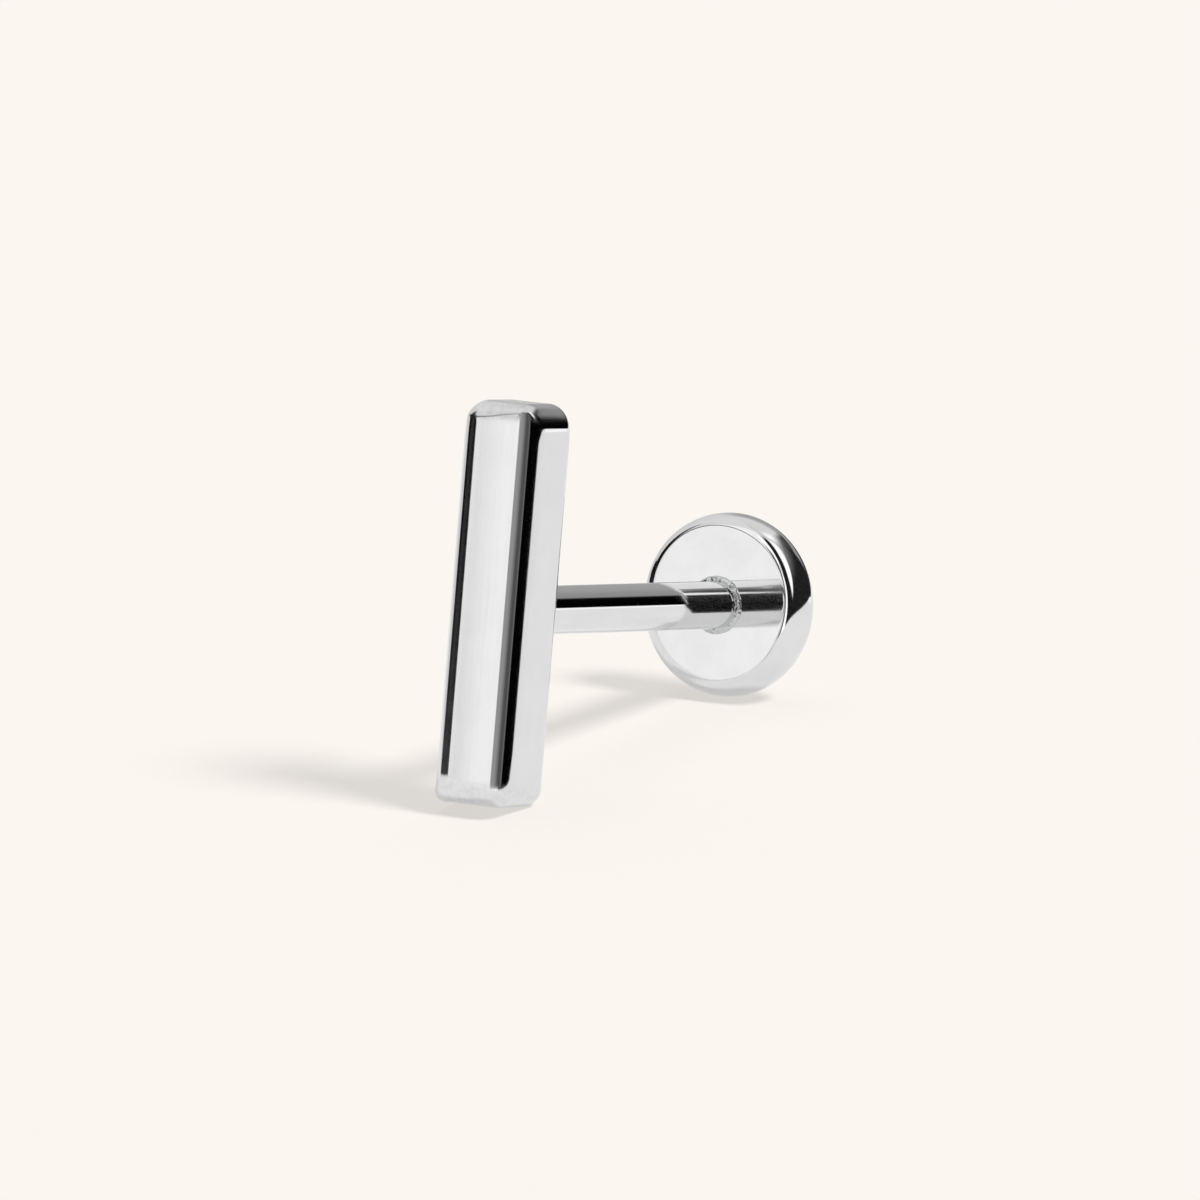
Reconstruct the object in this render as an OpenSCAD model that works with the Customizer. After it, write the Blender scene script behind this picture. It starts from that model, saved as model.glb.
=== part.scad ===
// Bar stud earring with a removable front, lying as it rests by itself on a table.
// The bar's foot and the disc's rim touch the table, and the post slopes down to the disc.
// Lengths are in millimetres. X runs along the earring, from the bar to the disc, and Z points up.

/* [Bar] */
// Length of the bar
bar_length = 8.6; // [6:0.1:14]
// Width of the bar, seen from the front
bar_width = 1.92; // [1.4:0.02:3]
// Depth of the bar, from its front face to its back face
bar_depth = 1.8; // [1.3:0.02:2.6]
// Radius of all the bar's rounded edges and corners
bar_edge_r = 0.45; // [0.1:0.01:0.6]
// How far the post stands below the middle of the bar
post_drop = 0.17; // [0:0.01:0.8]

/* [Post] */
// Outside diameter of the hollow post
post_diameter = 1.04; // [0.96:0.02:1.6]
// Distance between the bar's back face and the disc's inner face
post_length = 8.4; // [6.5:0.1:12]
// Bevel around the mouth of the hollow post
mouth_bevel = 0.06; // [0.02:0.01:0.08]
// Gap between the post's mouth and the bar's back face
seat_gap = 0.02; // [0.01:0.01:0.05]

/* [Pin] */
// Diameter of the pin that plugs into the post
pin_diameter = 0.6; // [0.4:0.02:0.7]
// Length of the pin outside the bar
pin_length = 5.5; // [3:0.1:7]
// Depth of the socket in the bar that holds the pin
socket_depth = 0.6; // [0.3:0.05:0.9]
// Clearance all round the pin in the post
pin_clearance = 0.03; // [0.01:0.01:0.05]
// Clearance all round the pin in its socket
socket_clearance = 0.01; // [0.01:0.005:0.02]
// Free depth of the hollow behind the pin's tip
hollow_spare = 0.3; // [0.1:0.05:0.8]

/* [Disc] */
// Diameter of the disc that lies behind the ear
disc_diameter = 4; // [3:0.1:6]
// Thickness of the disc
disc_thickness = 1.15; // [0.5:0.05:1.5]
// Radius of the disc's rounded rim
disc_edge_r = 0.47; // [0.2:0.01:0.7]
// Reach of the solder bead around the post's root
bead_reach = 0.12; // [0.05:0.01:0.3]

/* [Hidden] */
$fn = 64;

post_r = post_diameter / 2;
pin_r = pin_diameter / 2;
hollow_r = pin_r + pin_clearance;
hollow_depth = pin_length + hollow_spare;
disc_r = disc_diameter / 2;
// A rim can be no rounder than half the disc's thickness.
rim_r = min(disc_edge_r, disc_thickness / 2);
// Extra length that lets a cutting tool pass through a face
past = 0.1;

// Resting pose: the foot's rounded back edge and the rim's lowest round touch the same level.
// Both are circles, so the slope follows from the run and the fall between their centres.
foot = bar_length / 2 - post_drop;
run = post_length + disc_thickness - rim_r + bar_edge_r;
fall = (foot - bar_edge_r) - (disc_r - rim_r);
slope = atan2(fall, run) + asin((bar_edge_r - rim_r) / norm([run, fall]));
// Place of a point that lies u along the post and v along the bar, once the earring is sloped
function rest_x(u, v) = u * cos(slope) + v * sin(slope);
function rest_z(u, v) = v * cos(slope) - u * sin(slope);
lift = bar_edge_r - rest_z(-bar_edge_r, bar_edge_r - foot);
low_x = rest_x(bar_edge_r - bar_depth, bar_edge_r - foot) - bar_edge_r;
high_x = rest_x(post_length + disc_thickness - rim_r, disc_r - rim_r) + rim_r;

// Sets the earring on the table, with the middle of its outline above the origin.
module resting() {
    translate([-(low_x + high_x) / 2, 0, lift])
        rotate([0, slope, 0])
            children();
}

// Turns a shape made along Z so that it runs along the post.
module along_post(start) {
    translate([start, 0, 0])
        rotate([0, 90, 0])
            children();
}

// Round bars along the four edges of a block that run in its third direction
module edge_rounds(size, r) {
    for (x = [r, size.x - r], y = [r, size.y - r])
        translate([x, y, r])
            cylinder(h = size.z - 2 * r, r = r);
}

// Block with ball-round corners, made of exact slabs, rounds and balls
module rounded_block(size, r) {
    translate([r, r, 0])
        cube([size.x - 2 * r, size.y - 2 * r, size.z]);
    translate([r, 0, r])
        cube([size.x - 2 * r, size.y, size.z - 2 * r]);
    translate([0, r, r])
        cube([size.x, size.y - 2 * r, size.z - 2 * r]);
    edge_rounds(size, r);
    translate([0, size.y, 0])
        rotate([90, 0, 0])
            edge_rounds([size.x, size.z, size.y], r);
    rotate([90, 0, 90])
        edge_rounds([size.y, size.z, size.x], r);
    for (x = [r, size.x - r], y = [r, size.y - r], z = [r, size.z - r])
        translate([x, y, z])
            sphere(r = r);
}

// Bar with the blind socket for its pin
module bar() {
    color("silver")
        resting()
            difference() {
                translate([-bar_depth, -bar_width / 2, -foot])
                    rounded_block([bar_depth, bar_width, bar_length], bar_edge_r);
                along_post(-socket_depth)
                    cylinder(h = socket_depth + past, r = pin_r + socket_clearance);
            }
}

// Plain round pin with a domed tip
module pin() {
    color("gainsboro")
        resting()
            union() {
                along_post(-socket_depth + socket_clearance)
                    cylinder(h = socket_depth - socket_clearance + pin_length - pin_r, r = pin_r);
                translate([pin_length - pin_r, 0, 0])
                    sphere(r = pin_r);
            }
}

// Outline of half the disc, turned about the post's line
module disc_profile() {
    square([disc_r - rim_r, disc_thickness]);
    translate([0, rim_r])
        square([disc_r, disc_thickness - 2 * rim_r]);
    for (y = [rim_r, disc_thickness - rim_r])
        translate([disc_r - rim_r, y])
            circle(r = rim_r);
}

// Thick disc with a round rim
module disc() {
    along_post(post_length)
        rotate_extrude()
            disc_profile();
}

// Solder bead where the post meets the disc
module bead() {
    along_post(post_length)
        rotate_extrude()
            translate([post_r, 0])
                circle(r = bead_reach);
}

// Hollow post, solder bead and disc, which are soldered into one piece
module flat_back() {
    color("silver")
        resting()
            difference() {
                union() {
                    along_post(seat_gap)
                        cylinder(h = mouth_bevel, r1 = post_r - mouth_bevel, r2 = post_r);
                    along_post(seat_gap + mouth_bevel)
                        cylinder(h = post_length - seat_gap - mouth_bevel + rim_r, r = post_r);
                    disc();
                    bead();
                }
                along_post(-past)
                    cylinder(h = hollow_depth + past, r = hollow_r);
            }
}

bar();
pin();
flat_back();
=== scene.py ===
# %% [markdown]
# Bar stud earring
#
# This script dresses a small silver stud: a smooth bar that lies on the front of the earlobe, a hollow
# post that goes through it, and a thick round disc that lies behind it. The bar carries a thin pin that
# plugs into the post. The exact solids come from the CAD model, and the pieces made here take their
# places, with softer edges, a drop of solder and worn polish that solids of a few exact faces can't show.

from math import asin, atan2, cos, degrees, hypot, pi, radians, sin

import bmesh
import bpy
from mathutils import Matrix, Vector, noise


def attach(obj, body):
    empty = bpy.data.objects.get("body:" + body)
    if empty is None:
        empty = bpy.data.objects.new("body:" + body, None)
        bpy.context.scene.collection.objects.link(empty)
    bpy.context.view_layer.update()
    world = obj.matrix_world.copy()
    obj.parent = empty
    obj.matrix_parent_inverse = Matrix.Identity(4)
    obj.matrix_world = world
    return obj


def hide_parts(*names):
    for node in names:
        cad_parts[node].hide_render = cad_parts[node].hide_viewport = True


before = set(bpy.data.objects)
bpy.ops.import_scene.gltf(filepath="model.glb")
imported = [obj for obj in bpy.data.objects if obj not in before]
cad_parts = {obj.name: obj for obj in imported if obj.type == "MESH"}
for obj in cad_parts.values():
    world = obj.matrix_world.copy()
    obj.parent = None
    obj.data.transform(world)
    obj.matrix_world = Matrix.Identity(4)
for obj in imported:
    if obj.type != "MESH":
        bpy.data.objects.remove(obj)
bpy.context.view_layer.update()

# %% [markdown]
# The sizes are those of the CAD model. They are written in millimetres times MM, because Blender works
# in metres here. Three directions are enough for the whole earring: along the post, across the bar, and
# along the bar. All pieces are modelled straight in these directions and are tipped as one, so that the
# bar's foot and the disc's rim touch the table.

# %% Sizes of the pieces
MM = 0.001
BAR_LENGTH = 8.6 * MM
BAR_WIDTH = 1.92 * MM
BAR_DEPTH = 1.8 * MM
BAR_EDGE = 0.45 * MM
POST_DROP = 0.17 * MM
POST_RADIUS = 0.52 * MM
POST_LENGTH = 8.4 * MM
HOLLOW_RADIUS = 0.33 * MM
HOLLOW_DEPTH = 5.8 * MM
MOUTH_BEVEL = 0.06 * MM
SEAT_GAP = 0.02 * MM
PIN_RADIUS = 0.3 * MM
PIN_LENGTH = 5.5 * MM
SOCKET_DEPTH = 0.6 * MM
SOCKET_CLEARANCE = 0.01 * MM
DISC_RADIUS = 2 * MM
DISC_THICKNESS = 1.15 * MM
RIM_ROUND = 0.47 * MM
BEAD_REACH = 0.12 * MM
# Narrow ring or border that keeps a flat face flat in smooth shading
BORDER = 0.03 * MM

# %% Tip the earring as it rests
foot = BAR_LENGTH / 2 - POST_DROP
top = BAR_LENGTH - foot
run = POST_LENGTH + DISC_THICKNESS - RIM_ROUND + BAR_EDGE
fall = (foot - BAR_EDGE) - (DISC_RADIUS - RIM_ROUND)
slope = atan2(fall, run) + asin((BAR_EDGE - RIM_ROUND) / hypot(run, fall))
tip = Matrix.Rotation(slope, 4, "Y")
foot_round = tip @ Vector((-BAR_EDGE, 0, BAR_EDGE - foot))
front_low = tip @ Vector((BAR_EDGE - BAR_DEPTH, 0, BAR_EDGE - foot))
rim_high = tip @ Vector((POST_LENGTH + DISC_THICKNESS - RIM_ROUND, 0, DISC_RADIUS - RIM_ROUND))
middle = (front_low.x - BAR_EDGE + rim_high.x + RIM_ROUND) / 2
resting = Matrix.Translation((-middle, 0, BAR_EDGE - foot_round.z)) @ tip
# The finishes see a place turned back by the slope but still shifted by the resting pose
own_shift = (tip.inverted() @ resting).translation
FOOT_LEVEL = own_shift.z - foot
TOP_LEVEL = FOOT_LEVEL + BAR_LENGTH
print("tipped by", round(degrees(slope), 3), "degrees")

# %% [markdown]
# Materials are networks of nodes, and maths in them is easier to read as Python. The class below wraps
# one socket. Adding, subtracting, multiplying or dividing with it adds the Math node that does it, and
# `add` makes any other node from its kind, its settings and its inputs.

# %% A pen that writes shader nodes
class Pen:
    def __init__(self, tree, socket=None):
        self.tree = tree
        self.socket = socket

    def add(self, kind, settings=None, inputs=None, out=0):
        node = self.tree.nodes.new(kind)
        for name, value in (settings or {}).items():
            setattr(node, name, value)
        for name, value in (inputs or {}).items():
            if isinstance(value, Pen):
                self.tree.links.new(value.socket, node.inputs[name])
            else:
                node.inputs[name].default_value = value
        if not node.outputs:
            return None
        return Pen(self.tree, node.outputs[out])

    def maths(self, operation, *values):
        return self.add("ShaderNodeMath", {"operation": operation}, dict(enumerate(values)))

    def __add__(self, other):
        return self.maths("ADD", self, other)

    __radd__ = __add__

    def __sub__(self, other):
        return self.maths("SUBTRACT", self, other)

    def __rsub__(self, other):
        return self.maths("SUBTRACT", other, self)

    def __mul__(self, other):
        return self.maths("MULTIPLY", self, other)

    __rmul__ = __mul__

    def __truediv__(self, other):
        return self.maths("DIVIDE", self, other)

    def step(self, low, high, start=0.0, end=1.0):
        """Smooth step: start below low, end above high."""
        return self.add("ShaderNodeMapRange", {"interpolation_type": "SMOOTHSTEP"},
                        {"Value": self, "From Min": low, "From Max": high, "To Min": start, "To Max": end})

    def parts(self):
        """The three coordinates of a vector."""
        split = self.add("ShaderNodeSeparateXYZ", {}, {"Vector": self})
        return [Pen(self.tree, out) for out in split.socket.node.outputs]


def start_tree(holder):
    holder.use_nodes = True
    holder.node_tree.nodes.clear()
    return Pen(holder.node_tree)


print("pen ready")

# %% [markdown]
# A few helpers are shared by all finishes. `blend` works on plain numbers and on sockets alike, so the
# shapes use it too. The coordinates are the object's own, turned so that X runs along the post.

# %% Helpers for finishes
def blend(under, over, amount):
    """under where amount is 0, over where it is 1."""
    return under + (over - under) * amount


def mixed(pen, amount, under, over):
    """Mixes two colours: under where amount is 0, over where it is 1."""
    return pen.add("ShaderNodeMix", {"data_type": "RGBA"}, {"Factor": amount, 6: under, 7: over}, 2)


def shade(colour, share):
    """A lighter or darker colour, with its alpha."""
    return tuple(min(1.0, share * c) for c in colour) + (1,)


def straightened(pen):
    place = pen.add("ShaderNodeTexCoord", out="Object")
    return pen.add("ShaderNodeMapping", {}, {"Vector": place, "Rotation": (0, -slope, 0)})


def stretched_noise(pen, place, scale, detail=2.0, rough=0.5, seed=0.0):
    """Noise with its own scale in each direction, in waves per metre."""
    shift = (seed, seed, seed)
    moved = pen.add("ShaderNodeMapping", {}, {"Vector": place, "Scale": scale, "Location": shift})
    settings = {"Vector": moved, "Scale": 1.0, "Detail": detail, "Roughness": rough}
    return pen.add("ShaderNodeTexNoise", {}, settings)


print("blend of 2 and 4, a quarter of the way:", blend(2, 4, 0.25))

# %% [markdown]
# Polished silver is close to a mirror, so its looks come from small flaws. Here they are, from large to
# small: a slow waviness from casting and buffing, an orange-peel grain where the buff reached badly,
# hair-fine scratches along the way the piece was rubbed, and smudges that make the gloss uneven.
# A flat grey with one roughness would look like plastic, and a picture of scratches would slide or
# stretch, so all of it is noise. The bar's two ends were only tumbled, so they are matt and speckled.

# %% Silver that has been buffed
SILVER = (0.795, 0.795, 0.795)
SOLDER = (0.60, 0.605, 0.61)
STEEL = (0.62, 0.62, 0.63)
WAVE_SCALE = 420
CLOUD_SCALE = 1500
GRAIN_SCALE = 9000
SPOT_SCALE = 6500
SPOT_HEIGHT = 2.2e-6
MATT_ROUGH = 0.14


def even_noise(pen, place, scale, detail, rough, seed):
    return stretched_noise(pen, place, (scale, scale, scale), detail, rough, seed)


def bar_ends(place):
    """1 on the bar's foot and top, 0 between them."""
    along_bar = place.parts()[2]
    at_foot = along_bar.step(FOOT_LEVEL + 0.36 * MM, FOOT_LEVEL + 0.62 * MM, 1.0, 0.0)
    return at_foot + along_bar.step(TOP_LEVEL - 0.45 * MM, TOP_LEVEL - 0.3 * MM)


def silver(name, tint, rough, wave, peel, scratch, along, seed, brushed=0.0, matt_ends=False, film=0.0,
           fine=GRAIN_SCALE):
    """Buffed metal. wave, peel and scratch are heights in metres, along is the scratches' scale in each
    direction, brushed is the share of the dulling that follows them, film is the share of the light
    that a thin dull film scatters, and fine is the grain's scale."""
    material = bpy.data.materials.new(name)
    pen = start_tree(material)
    place = straightened(pen)
    slow = even_noise(pen, place, WAVE_SCALE, 1.0, 0.4, seed)
    cloud = even_noise(pen, place, CLOUD_SCALE, 3.0, 0.55, seed + 3)
    grain = even_noise(pen, place, fine, 2.0, 0.6, seed + 7)
    hair = stretched_noise(pen, place, along, 3.0, 0.7, seed + 11)
    line = hair.step(0.60, 0.72)
    pale = shade(tint, 1.01)
    dulled = (1 - brushed) * cloud.step(0.3, 0.7) + brushed * hair.step(0.3, 0.7)
    colour = mixed(pen, dulled, pale, shade(tint, 0.97))
    smudge = cloud.step(0.45, 0.75)
    rough_map = rough + 0.015 * smudge + 0.02 * line + 0.02 * grain
    height = wave * slow + peel * grain + scratch * line
    if matt_ends:
        ends = bar_ends(place)
        spots = even_noise(pen, place, SPOT_SCALE, 5.0, 0.7, seed + 17)
        tarnish = mixed(pen, ends * spots.step(0.42, 0.72), pale, shade(tint, 0.90))
        colour = mixed(pen, ends, colour, tarnish)
        rough_map = rough_map + MATT_ROUGH * ends
        height = height + SPOT_HEIGHT * ends * spots
    bump = pen.add("ShaderNodeBump", {}, {"Strength": 1.0, "Distance": 1.0, "Height": height})
    shader = pen.add("ShaderNodeBsdfPrincipled", {}, {
        "Base Color": colour, "Metallic": 1.0 - film, "Roughness": rough_map, "Normal": bump})
    pen.add("ShaderNodeOutputMaterial", {}, {"Surface": shader})
    return material


bar_silver = silver("bar_silver", SILVER, rough=0.05, wave=5e-7, peel=3e-8, scratch=-6e-9,
                    along=(900, 14000, 600), seed=1.0, brushed=0.6, matt_ends=True)
disc_silver = silver("disc_silver", SILVER, rough=0.05, wave=5e-7, peel=3e-8, scratch=-6e-9,
                     along=(9000, 900, 9000), seed=21.0, film=0.015)
post_silver = silver("post_silver", SILVER, rough=0.05, wave=3e-7, peel=3e-8, scratch=-6e-9,
                     along=(500, 9000, 9000), seed=41.0, brushed=0.5)
bead_silver = silver("bead_silver", SOLDER, rough=0.07, wave=2e-6, peel=9e-6, scratch=0.0,
                     along=(3000, 3000, 3000), seed=61.0, fine=22000)
pin_steel = silver("pin_steel", STEEL, rough=0.22, wave=1e-6, peel=2e-7, scratch=-6e-7,
                   along=(600, 12000, 12000), seed=81.0)
print("finishes:", [m.name for m in (bar_silver, disc_silver, post_silver, bead_silver, pin_steel)])

# %% [markdown]
# Every piece is finished in the same way: stray doubles are merged, the faces are turned outwards, the
# mesh is tipped into its resting place, and the object is parented to its body, while the CAD part that
# it stands for is hidden.

# %% Finish a piece
SAME_PLACE = 1e-8


def linked(name, shape, material):
    """An object in the scene that holds the shape and wears the material."""
    mesh = bpy.data.meshes.new(name)
    shape.to_mesh(mesh)
    shape.free()
    mesh.materials.append(material)
    piece = bpy.data.objects.new(name, mesh)
    bpy.context.scene.collection.objects.link(piece)
    return piece


def finish_piece(name, shape, material, body, node):
    bmesh.ops.remove_doubles(shape, verts=shape.verts, dist=SAME_PLACE)
    bmesh.ops.recalc_face_normals(shape, faces=shape.faces)
    bmesh.ops.transform(shape, matrix=resting, verts=shape.verts)
    for face in shape.faces:
        face.smooth = True
    piece = linked(name, shape, material)
    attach(piece, body)
    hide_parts(node)
    size = [round(1000 * edge, 2) for edge in piece.dimensions]
    print(name, "faces", len(piece.data.polygons), "size in mm", size)


print("ready to finish pieces")

# %% [markdown]
# The pin, the post, the disc and the bead are all round about one line, as if they came off a lathe.
# Each is a short list of corners, given by their place along the line and their radius, that is spun
# about it. Rounded corners in such a list are quarters of an ellipse.

# %% Turn round pieces
def arc(centre, radii, start, end, steps):
    """Corners on a quarter or half round, as (along, radius) pairs. Angles are in degrees."""
    turns = [radians(start + (end - start) * n / steps) for n in range(steps + 1)]
    return [(centre[0] + radii[0] * cos(t), centre[1] + radii[1] * sin(t)) for t in turns]


def turned(profile, steps):
    """Spins a list of (along, radius) corners about the post's line."""
    shape = bmesh.new()
    corners = [shape.verts.new((x, 0, r)) for x, r in profile]
    edges = [shape.edges.new(pair) for pair in zip(corners, corners[1:])]
    bmesh.ops.spin(shape, geom=corners + edges, cent=(0, 0, 0), axis=(1, 0, 0), angle=2 * pi,
                   steps=steps, use_merge=True, use_duplicate=False)
    bmesh.ops.remove_doubles(shape, verts=shape.verts, dist=SAME_PLACE)
    return shape


print("a quarter round in three steps:", len(arc((0, 0), (1, 1), 90, 0, 3)), "corners")

# %% [markdown]
# The bar is a block with round edges and ball-like corners. A cube with every edge bevelled gives just
# that. The flat faces get a narrow inner border, so that smooth shading bends only at the border and
# the big faces reflect like flat mirrors. Extra cuts near the ends and across the width give the next
# step corners to move.

# %% Bar block
BEVEL_STEPS = 14
FILED = 1.3 * MM
FILED_CUTS = 10
WIDTH_CUTS = 9
half_flat = BAR_WIDTH / 2 - BAR_EDGE - BORDER


def cut(shape, axis, place):
    """Cuts the whole shape square to an axis, 1 across the bar or 2 along it."""
    geom = shape.verts[:] + shape.edges[:] + shape.faces[:]
    point = [0, 0, 0]
    normal = [0, 0, 0]
    point[axis] = place
    normal[axis] = 1
    bmesh.ops.bisect_plane(shape, geom=geom, plane_co=point, plane_no=normal)


bar_shape = bmesh.new()
bmesh.ops.create_cube(bar_shape, size=1)
bmesh.ops.scale(bar_shape, vec=(BAR_DEPTH, BAR_WIDTH, BAR_LENGTH), verts=bar_shape.verts)
bmesh.ops.translate(bar_shape, vec=(-BAR_DEPTH / 2, 0, POST_DROP), verts=bar_shape.verts)
bmesh.ops.bevel(bar_shape, geom=bar_shape.edges[:], offset=BAR_EDGE, offset_type="OFFSET",
                segments=BEVEL_STEPS, profile=0.5, affect="EDGES", material=-1)
flats = sorted(bar_shape.faces, key=lambda face: face.calc_area())[-6:]
bmesh.ops.inset_individual(bar_shape, faces=flats, thickness=BORDER, depth=0)
for n in range(FILED_CUTS):
    from_end = FILED - n * (FILED - BAR_EDGE) / FILED_CUTS
    cut(bar_shape, 2, top - from_end)
    cut(bar_shape, 2, from_end - foot)
for n in range(WIDTH_CUTS):
    cut(bar_shape, 1, half_flat * (2 * n / (WIDTH_CUTS - 1) - 1))
print("bar block:", len(bar_shape.verts), "corners")

# %% [markdown]
# Nobody files both ends of a bar alike. The borders between the flats and the rounded ends lie a little
# further out or in on each side, as a pair of numbers says for the left and the right. The top is rubbed
# down a little across its width, the foot's left edge is squarer than a round, and the front is
# crowned by a few thousandths of a millimetre, which spreads the light on it.

# %% Wear the bar
SIDE_TOP = -0.10 * MM
FRONT_TOP = (0.07 * MM, 0.25 * MM)
SIDE_FOOT = (0.20 * MM, -0.26 * MM)
FRONT_FOOT = (-0.10 * MM, 0.02 * MM)
BACK_FOOT = 0.05 * MM
BACK_FROM = -1.2 * MM
BACK_TO = -0.2 * MM
RIGHT_FROM = -0.6 * MM
RIGHT_TO = 0.6 * MM
TOP_REACH = 0.8 * MM
TOP_PINCH = 0.085
FOOT_SQUARE = 3.4
CROWN = 0.003 * MM
ON_FRONT = 0.02 * MM


def smooth(value, low, high):
    share = min(1.0, max(0.0, (value - low) / (high - low)))
    return share * share * (3 - 2 * share)


def filed(co, end, shift):
    """Slides the border between flat and round towards an end by shift, or away where it is negative."""
    away = abs(end - co.z)
    if away < BAR_EDGE:
        move = shift * away / BAR_EDGE
    else:
        move = shift * (1 - smooth(away, BAR_EDGE, FILED))
    return move if end > 0 else -move


for vert in bar_shape.verts:
    u, y, v = vert.co
    front = 1 - smooth(u, -BAR_DEPTH, BAR_EDGE - BAR_DEPTH)
    right = smooth(-y, RIGHT_FROM, RIGHT_TO)
    back = smooth(u, BACK_FROM, BACK_TO)
    side_foot = blend(blend(*SIDE_FOOT, right), BACK_FOOT, back)
    at_top = filed(vert.co, top, blend(SIDE_TOP, blend(*FRONT_TOP, right), front))
    at_foot = filed(vert.co, -foot, blend(side_foot, blend(*FRONT_FOOT, right), front))
    near_top = max(0.0, (v - (top - TOP_REACH)) / TOP_REACH)
    vert.co.y *= 1 - TOP_PINCH * near_top ** 2
    vert.co.z += at_top if v > 0 else at_foot
    side = max(0.0, y - BAR_WIDTH / 2 + BAR_EDGE) / BAR_EDGE
    down = max(0.0, BAR_EDGE - foot - vert.co.z) / BAR_EDGE
    if side > 0 and down > 0:
        fuller = hypot(side, down) / (side ** FOOT_SQUARE + down ** FOOT_SQUARE) ** (1 / FOOT_SQUARE)
        vert.co.y += (fuller - 1) * side * BAR_EDGE
        vert.co.z -= (fuller - 1) * down * BAR_EDGE
    if u < ON_FRONT - BAR_DEPTH:
        vert.co.x += CROWN * min(1.0, (y / half_flat) ** 2)
finish_piece("bar", bar_shape, bar_silver, "front", "bar")

# %% [markdown]
# The pin is turned like a shaft. Its tip is a half ball, so that it finds the hollow post easily. It is
# only seen when the bar is pulled out.

# %% Pin
pin_start = -SOCKET_DEPTH + SOCKET_CLEARANCE
pin_profile = [(pin_start, 0), (pin_start, PIN_RADIUS), (pin_start + BORDER, PIN_RADIUS)]
pin_profile += arc((PIN_LENGTH - PIN_RADIUS, 0), (PIN_RADIUS, PIN_RADIUS), 90, 0, 10)
finish_piece("pin", turned(pin_profile, 48), pin_steel, "front", "pin")

# %% [markdown]
# The post is a tube that is closed at the disc's end. One outline runs from the disc's end along the
# outside, round the softened mouth, and back along the inside of the hollow to its bottom.

# %% Post
INNER_LIP = 0.02 * MM
ROOT_DEPTH = 0.3 * MM
lip = MOUTH_BEVEL
mouth = SEAT_GAP
root = POST_LENGTH + ROOT_DEPTH
post_profile = [(root, 0), (root, POST_RADIUS), (root - BORDER, POST_RADIUS), (mouth + 2 * lip, POST_RADIUS)]
post_profile += arc((mouth + lip, POST_RADIUS - lip), (lip, lip), 90, 180, 8)
post_profile += arc((mouth + INNER_LIP, HOLLOW_RADIUS + INNER_LIP), (INNER_LIP, INNER_LIP), 180, 270, 4)
post_profile += [(mouth + 3 * INNER_LIP, HOLLOW_RADIUS), (HOLLOW_DEPTH, HOLLOW_RADIUS), (HOLLOW_DEPTH, 0)]
finish_piece("post", turned(post_profile, 96), post_silver, "back", "flat_back")

# %% [markdown]
# The disc is turned too. Its faces are flat, and its rim is a full round that is deeper than it is
# tall, like a coin that was tumbled for days. It is widest a little behind its middle. Tumbling has also
# worn the near face down by a few hundredths of a millimetre, and its edge reaches a little further
# out at the top than at the foot. A narrow ring just inside the round keeps the flat face flat in
# smooth shading. The face starts inside the post, so its inner edge never shows.

# %% Disc
NEAR_DEPTH = 0.60 * MM
NEAR_REACH = 0.40 * MM
FAR_DEPTH = 0.495 * MM
FAR_REACH = 0.46 * MM
FACE_WORN = 0.055 * MM
FACE_START = 0.3 * MM
FACE_RISE = 0.125 * MM
RISE_LEAN = 0.2
RISE_FROM = -0.35
RISE_TO = 0.95
RIM_STEPS = 22
near_flat = DISC_RADIUS - NEAR_REACH
far_flat = DISC_RADIUS - FAR_REACH
near_face = POST_LENGTH + FACE_WORN
far_face = POST_LENGTH + DISC_THICKNESS
disc_profile = [(near_face, FACE_START), (near_face, near_flat - BORDER)]
disc_profile += arc((near_face + NEAR_DEPTH, near_flat), (NEAR_DEPTH, NEAR_REACH), 180, 90, RIM_STEPS)
disc_profile += arc((far_face - FAR_DEPTH, far_flat), (FAR_DEPTH, FAR_REACH), 90, 0, RIM_STEPS)
disc_profile += [(far_face, far_flat - BORDER), (far_face, 0)]
disc_shape = turned(disc_profile, 160)
for vert in disc_shape.verts:
    radius = hypot(vert.co.y, vert.co.z)
    inward = min(1.0, (DISC_RADIUS - radius) / NEAR_REACH)
    if vert.co.x < near_face + NEAR_DEPTH and radius > near_flat - 2 * BORDER:
        upward = (vert.co.z - RISE_LEAN * vert.co.y) / radius
        grown = 1 + FACE_RISE * smooth(upward, RISE_FROM, RISE_TO) * inward / radius
        vert.co.y *= grown
        vert.co.z *= grown
finish_piece("disc", disc_shape, disc_silver, "back", "flat_back")

# %% [markdown]
# Solder leaves a small rough collar where the post meets the disc. A ring is turned first, and noise
# then lifts and lowers it, because a drop of solder that has run round a joint is never even.

# %% Solder bead
BEAD_RISE = 0.055 * MM
BEAD_MARGIN = 0.005 * MM
LUMP_HEIGHT = 0.014 * MM
LARGE_LUMPS = 5000
SMALL_LUMPS = 14000
bead_profile = arc((near_face, POST_RADIUS), (BEAD_RISE, BEAD_REACH - BEAD_MARGIN), 80, 190, 12)
bead_shape = turned(bead_profile, 180)
bead_shape.normal_update()
for vert in bead_shape.verts:
    lump = noise.noise(vert.co * LARGE_LUMPS) + 0.8 * noise.noise(vert.co * SMALL_LUMPS)
    vert.co += vert.normal * LUMP_HEIGHT * lump
finish_piece("solder_bead", bead_shape, bead_silver, "back", "flat_back")

# %% [markdown]
# The floor is a plain warm white sheet, far wider than the view, so that no edge of it shows. It is
# only for the eye: a mirror-bright piece would show it as a hard line at the horizon, so the earring
# reflects a second, neutral sheet that is just large enough to carry its shadows. Both also glow,
# which keeps the shadows on them pale.

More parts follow.
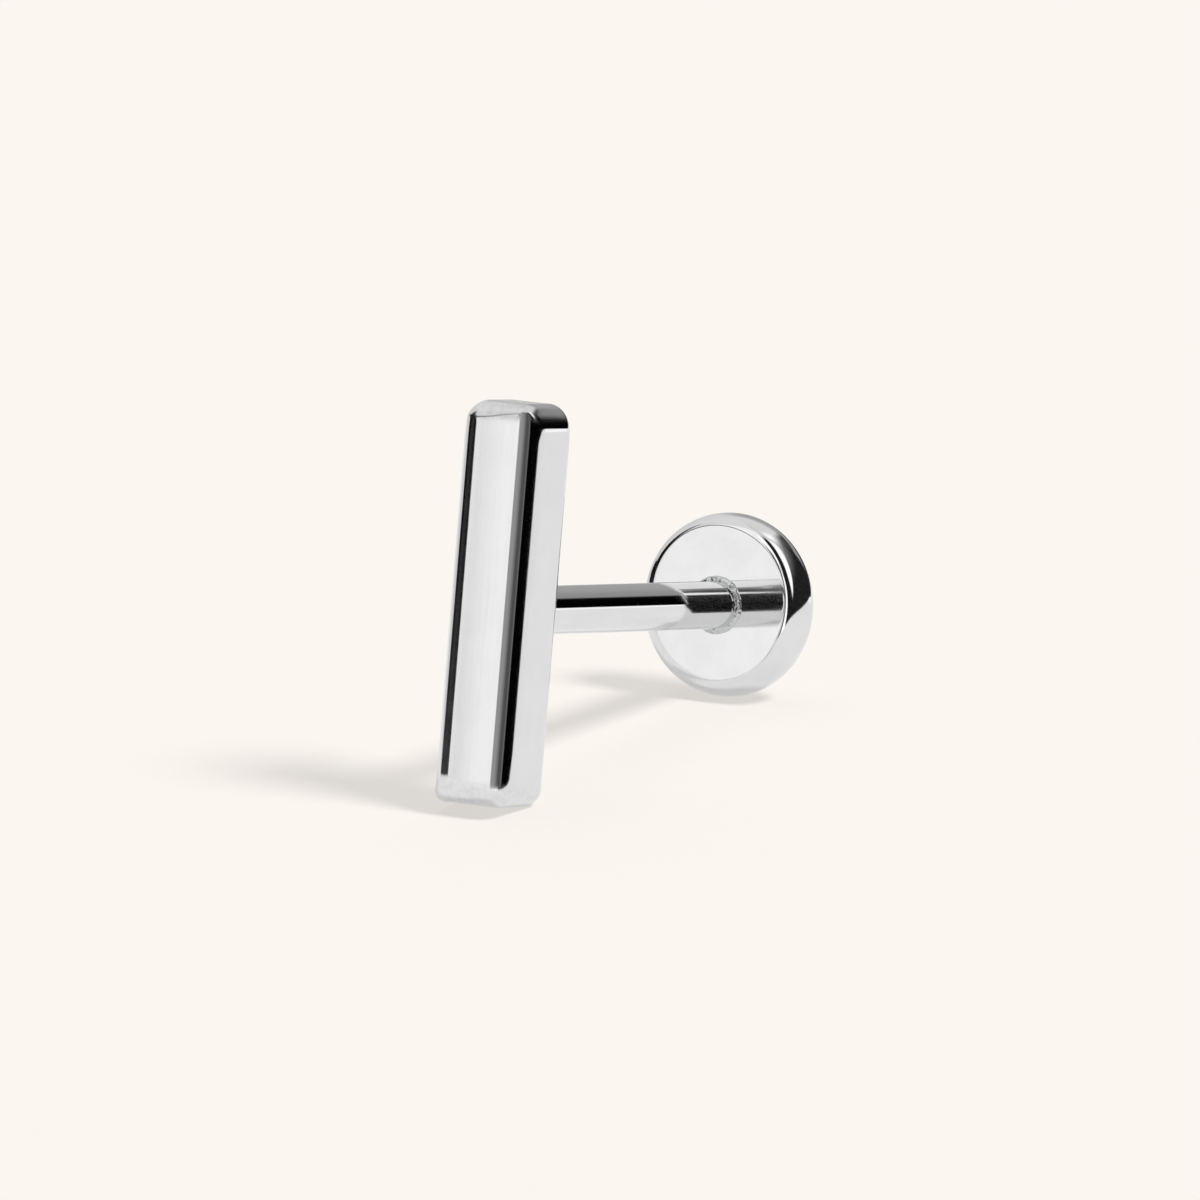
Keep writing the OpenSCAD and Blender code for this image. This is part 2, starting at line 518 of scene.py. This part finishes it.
# %% Floor
FLOOR_COLOUR = (0.93, 0.891, 0.842)
FLOOR_RADIUS = 4.0
FLOOR_GLOW = 0.57
NEAR_COLOUR = (0.89, 0.89, 0.89)
NEAR_RADIUS = 22 * MM
NEAR_LIFT = 0.005 * MM
NEAR_GLOW = 0.6
FIBRE_SCALE = 900.0


def plain_sheet(name, colour, radius, height, glow):
    material = bpy.data.materials.new(name)
    pen = start_tree(material)
    place = pen.add("ShaderNodeTexCoord", out="Object")
    fibre = pen.add("ShaderNodeTexNoise", {}, {"Vector": place, "Scale": FIBRE_SCALE, "Detail": 3.0})
    tone = mixed(pen, fibre, shade(colour, 1.0), shade(colour, 0.99))
    cloth = pen.add("ShaderNodeBsdfDiffuse", {}, {"Color": tone})
    shine = pen.add("ShaderNodeEmission", {}, {"Color": tone, "Strength": 1.0})
    shader = pen.add("ShaderNodeMixShader", {}, {0: glow, 1: cloth, 2: shine})
    pen.add("ShaderNodeOutputMaterial", {}, {"Surface": shader})
    material.cycles.emission_sampling = "NONE"
    shape = bmesh.new()
    bmesh.ops.create_circle(shape, cap_ends=True, radius=radius, segments=64)
    bmesh.ops.translate(shape, vec=(0, 0, height), verts=shape.verts)
    return linked(name, shape, material)


def only_in_reflections(card):
    card.visible_camera = False
    card.visible_diffuse = False
    card.visible_shadow = False
    card.visible_transmission = False


floor = plain_sheet("floor", FLOOR_COLOUR, FLOOR_RADIUS, 0.0, FLOOR_GLOW)
floor.visible_glossy = False
near_floor = plain_sheet("near_floor", NEAR_COLOUR, NEAR_RADIUS, NEAR_LIFT, NEAR_GLOW)
only_in_reflections(near_floor)
print("floor and near floor laid")

# %% [markdown]
# Around the stage stands a soft tent of light with a few dark flags, which is how small jewels are
# photographed: without dark shapes to mirror, silver turns into flat grey. The tent is written as a
# function of direction in the world's shader, so each flag is a few steps in two angles, both in
# degrees: the azimuth, which counts from +X towards +Y, and the height above the horizon. A tone of 1
# shows as white in a perfect mirror. The camera stands at an azimuth of 210.

# %% Directions in the tent
TURN = 180 / pi
world = bpy.data.worlds.new("tent")
bpy.context.scene.world = world
pen = start_tree(world)
x, y, z = pen.add("ShaderNodeTexCoord", out="Generated").parts()
azimuth = pen.maths("ARCTAN2", y, x) * TURN
azimuth = azimuth + 360 * azimuth.maths("LESS_THAN", azimuth, 0.0)
height = pen.maths("ARCSINE", z) * TURN
# The same azimuth, but running on past 360, for what stands on the camera's right
round_turn = azimuth + 360 * azimuth.maths("LESS_THAN", azimuth, 100.0)


def between(value, low, high, soft):
    """1 between low and high, 0 outside, with soft borders."""
    return value.step(low - soft, low + soft) * value.step(high - soft, high + soft, 1.0, 0.0)


def ramp(value, start):
    """value - start where that is positive, else 0."""
    return (value - start).maths("MAXIMUM", 0.0, value - start)


print("the tent has directions")

# %% [markdown]
# The left half of the tent is what the bar's left and front faces mirror: a bright panel in front of
# the bar, a brighter strip beside the camera, and a tall black flag on the left, whose lower part is
# hung with grey cloth.

# %% Left half of the tent
BLACK = 0.003
DEEP_BLACK = 0.001
GREY_CLOTH = 0.030
tent = blend(height.step(-2, 60, 0.72, 0.84), 1.08, between(azimuth, 146, 214, 4))
tent = blend(tent, 0.90, between(azimuth, 112, 150.2, 1) * height.step(6, 12, 1.0, 0.0))
wing_edge = 204.5 + 0.003 * height * height
strip = (azimuth - 182).step(-2, 2) * (azimuth - wing_edge).step(-1, 1, 1.0, 0.0)
tent = blend(tent, 1.35, strip * height.step(74, 80, 1.0, 0.0))
# The left flag narrows towards its top
flag_left = 97 + 0.6 * ramp(height, 14.0) - 16 * between(height, 2.5, 9.5, 1.5)
flag_right = blend(148.5, 143.5 - 0.8 * (height - 8), height.step(7.0, 8.2))
flag_low = 0.17 * (azimuth - 105) - 1.3
flag = (azimuth - flag_left).step(-0.6, 0.6) * (azimuth - flag_right).step(-0.4, 0.4, 1.0, 0.0)
flag = flag * (height - flag_low).step(-0.4, 0.4) * height.step(38, 44, 1.0, 0.0)
hung = between(azimuth, 118, 135, 7) * height.step(7, 9, 1.0, 0.0)
tent = blend(tent, blend(BLACK, GREY_CLOTH, hung), flag)
tent = blend(tent, 0.015, between(azimuth, 138, 158, 1) * between(height, 11.3, 18, 0.6))
print("left half of the tent hung")

# %% [markdown]
# A large flag reaches from the camera round to the back on the right. The disc's round rim and the post
# mirror it. Its upper edge is a soft hill, it turns grey where light gets under it, and the open sky
# above it is dark near the camera, which gives the rim its black streak.

# %% Right half of the tent
hill_turn = (round_turn - 322) / blend(62, 58, round_turn.step(315, 330))
hill = 49 * pen.maths("EXPONENT", hill_turn * hill_turn * -1)
hill = hill.maths("MINIMUM", hill, 35 - 1.35 * (round_turn - 354))
hill_soft = round_turn.step(285, 330, 3.0, 9.0) - round_turn.step(345, 362, 0.0, 4.0)
low_tone = round_turn.step(343.5, 348, DEEP_BLACK, 0.32) + round_turn.step(351, 366, 0.0, 0.06)
low_tone = low_tone * height.step(4.5, 9, 0.08, 1.0) * height.step(17.5, 21, 1.0, 0.14)
hill_tone = low_tone + height.step(22, 50, DEEP_BLACK, 0.25)
wing = (azimuth - wing_edge).step(-1.2, 1.2) + azimuth.maths("LESS_THAN", azimuth, 100.0)
wing = wing * round_turn.step(385, 396, 1.0, 0.0)
open_sky = blend(1.35, 0.80, round_turn.step(334, 360))
open_sky = blend(open_sky, 0.85, between(round_turn, 317, 335, 7) * height.step(38, 46))
open_sky = blend(open_sky, 0.72, height.step(60, 74))
open_sky = blend(open_sky, 0.40, round_turn.step(356, 368) * height.step(18, 34, 1.0, 0.0))
streak_left = 251.5 + 0.72 * ramp(height, 34.0) + 1.0 * ramp(height, 56.0)
past_streak = (azimuth - streak_left) / height.step(30, 52, 5.0, 9.0)
dark = past_streak.step(-1.0, 1.0, 1.0, 0.0) * azimuth.maths("GREATER_THAN", azimuth, 150.0)
side_tone = blend(open_sky, DEEP_BLACK, dark)
rise = ((height - hill) / hill_soft).step(-1.0, 1.0)
tent = blend(tent, blend(hill_tone, side_tone, rise), wing * height.step(76, 84, 1.0, 0.0))
print("right half of the tent hung")

# %% [markdown]
# The post is a mirror that is round about its own line, so everything it shows lies on one cone of
# directions about that line. A dark arc drawn on the cone draws the band along the post and hardly
# touches anything else. Below the horizon the tent shows the floor.

# %% Arc for the post, and the floor's light
HORIZON_SOFT = 0.3
post_way = tip @ Vector((-1, 0, 0))
toward = x * post_way.x + z * post_way.z
cone = pen.maths("ARCCOSINE", toward) * TURN
on_cone = between(cone, 26.5, 31.0, 0.4)
tent = blend(tent, BLACK, on_cone * between(azimuth, 197.5, 216, 1.5) * between(height, 2.2, 38.0, 0.7))
tent = blend(tent, 0.42, on_cone * between(azimuth, 177, 181, 1) * between(height, 40, 44, 0.5))
horizon = round_turn.step(328, 342, -4.0, -6.5)
glint = between(height, -8.5, -3.5, 0.8) * between(round_turn, 326, 338, 4)
tent = blend(blend(0.90, 1.15, glint), tent, (height - horizon).step(-HORIZON_SOFT, HORIZON_SOFT))
print("arc drawn")

# %% [markdown]
# Only reflections read the tent. The floor is lit by an even white sky, so that the flags don't stain
# it, and by two soft lamps that draw the shadows. The camera sees the floor's own colour behind it.

# %% Who sees the tent
EVEN_SKY = (0.32, 0.32, 0.32, 1)
SEEN_SKY = (0.965, 0.922, 0.871, 1)
path = pen.add("ShaderNodeLightPath")
is_camera = Pen(pen.tree, path.socket.node.outputs["Is Camera Ray"])
is_glossy = Pen(pen.tree, path.socket.node.outputs["Is Glossy Ray"])
sky = mixed(pen, is_camera, EVEN_SKY, SEEN_SKY)
even = pen.add("ShaderNodeBackground", {}, {"Color": sky, "Strength": 1.0})
seen = pen.add("ShaderNodeCombineColor", {}, {"Red": tent, "Green": tent, "Blue": tent})
mirrored = pen.add("ShaderNodeBackground", {}, {"Color": seen, "Strength": 1.0})
both = pen.add("ShaderNodeMixShader", {}, {0: is_glossy, 1: even, 2: mirrored})
pen.add("ShaderNodeOutputWorld", {}, {"Surface": both})
world.cycles.sampling_method = "NONE"
print("tent nodes:", len(world.node_tree.nodes))

# %% [markdown]
# One flag stands right in front of the bar. It draws the grey stripe beside the bright front face, and
# it is so close that the disc, behind the bar, hardly sees it. Its back is see-through, so that it
# doesn't darken the bar when the bar is pulled out past it.

# %% Flag in front of the bar
FLAG_LEFT = 0.62 * MM
FLAG_RIGHT = -3.15 * MM
FLAG_AWAY = -4.7 * MM
FLAG_LOW = -4.1 * MM
FLAG_TOP = 9 * MM
flag_cloth = bpy.data.materials.new("flag_cloth")
pen = start_tree(flag_cloth)
across = pen.add("ShaderNodeTexCoord", out="Object").parts()[1]
tone = across.step(FLAG_LEFT - 2.4 * MM, FLAG_LEFT - 0.6 * MM, 0.09, 0.34)
tone = tone + across.step(FLAG_LEFT - 0.3 * MM, FLAG_LEFT, 0.0, 0.10)
tone = tone + across.step(FLAG_RIGHT, FLAG_RIGHT + 0.9 * MM, 0.09, 0.0)
grey = pen.add("ShaderNodeCombineColor", {}, {"Red": tone, "Green": tone, "Blue": tone})
glow = pen.add("ShaderNodeEmission", {}, {"Color": grey, "Strength": 1.0})
clear = pen.add("ShaderNodeBsdfTransparent", {}, {"Color": (1, 1, 1, 1)})
from_behind = pen.add("ShaderNodeNewGeometry", out="Backfacing")
one_sided = pen.add("ShaderNodeMixShader", {}, {0: from_behind, 1: glow, 2: clear})
pen.add("ShaderNodeOutputMaterial", {}, {"Surface": one_sided})
flag_cloth.cycles.emission_sampling = "NONE"
flag_size = (1, FLAG_LEFT - FLAG_RIGHT, FLAG_TOP - FLAG_LOW)
flag_place = (FLAG_AWAY, (FLAG_LEFT + FLAG_RIGHT) / 2, (FLAG_TOP + FLAG_LOW) / 2)
flag_shape = bmesh.new()
bmesh.ops.create_grid(flag_shape, x_segments=1, y_segments=1, size=0.5)
bmesh.ops.rotate(flag_shape, cent=(0, 0, 0), matrix=Matrix.Rotation(pi / 2, 3, "Y"), verts=flag_shape.verts)
bmesh.ops.scale(flag_shape, vec=flag_size, verts=flag_shape.verts)
bmesh.ops.translate(flag_shape, vec=flag_place, verts=flag_shape.verts)
bmesh.ops.transform(flag_shape, matrix=resting, verts=flag_shape.verts)
front_flag = linked("front_flag", flag_shape, flag_cloth)
only_in_reflections(front_flag)
print("flag stands", round(1000 * -FLAG_AWAY, 1), "mm before the bar's back")

# %% [markdown]
# The long shadows come from one window-like lamp, high on the camera's right. A wide and weaker one
# hangs high behind the earring. It softens the near side of the shadows and draws a little shade in
# front of the foot and the disc, where they touch the floor.

# %% Lamps
LAMP_AWAY = 0.3


def lamp(name, turn, rise, angle, energy):
    """A far round lamp. turn and rise say where it hangs, and angle how wide it looks, in degrees."""
    turn, rise = radians(turn), radians(rise)
    place = Vector((cos(rise) * cos(turn), cos(rise) * sin(turn), sin(rise)))
    data = bpy.data.lights.new(name, "SUN")
    data.angle = radians(angle)
    data.energy = energy
    holder = bpy.data.objects.new(name, data)
    holder.location = place * LAMP_AWAY
    holder.rotation_euler = place.to_track_quat("Z", "Y").to_euler()
    holder.visible_glossy = False
    bpy.context.scene.collection.objects.link(holder)
    return holder


key = lamp("key", turn=276, rise=53, angle=17, energy=2.45)
back_lamp = lamp("back_lamp", turn=42, rise=70, angle=50, energy=0.5)
print("lamps:", [holder.name for holder in (key, back_lamp)])

# %% [markdown]
# The camera stands where the photographer's stood, about 40 cm away and a little above the table, with
# a long lens. Its direction is given as a turn about the table and a tilt down, and it leans a little
# to one side.

# %% Camera
CAMERA_TURN = radians(30.0925)
CAMERA_TILT = radians(14.5187)
CAMERA_LEAN = radians(1.5726)
CAMERA_AWAY = 400 * MM
VIEW_WIDTH = 25.757 * MM
SENSOR = 36
AIM = Vector((0.45495, 0, 3.00783)) * MM
AIM_LEFT = 0.3862 * MM
AIM_UP = 0.2089 * MM
look = Vector((cos(CAMERA_TILT) * cos(CAMERA_TURN), cos(CAMERA_TILT) * sin(CAMERA_TURN), -sin(CAMERA_TILT)))
level = Vector((sin(CAMERA_TURN), -cos(CAMERA_TURN), 0))
upright = level.cross(look)
right_way = cos(CAMERA_LEAN) * level - sin(CAMERA_LEAN) * upright
up_way = sin(CAMERA_LEAN) * level + cos(CAMERA_LEAN) * upright
stand = AIM - AIM_LEFT * right_way + AIM_UP * up_way - CAMERA_AWAY * look
camera_data = bpy.data.cameras.new("camera")
camera_data.sensor_width = SENSOR
camera_data.lens = SENSOR * CAMERA_AWAY / VIEW_WIDTH
camera_data.clip_start = 0.01
camera_data.clip_end = 20
camera = bpy.data.objects.new("camera", camera_data)
camera.matrix_world = Matrix((
    (right_way.x, up_way.x, -look.x, stand.x),
    (right_way.y, up_way.y, -look.y, stand.y),
    (right_way.z, up_way.z, -look.z, stand.z),
    (0, 0, 0, 1)))
bpy.context.scene.collection.objects.link(camera)
bpy.context.scene.camera = camera
bpy.context.scene.view_settings.view_transform = "Standard"
print("lens", round(camera_data.lens, 1), "mm")
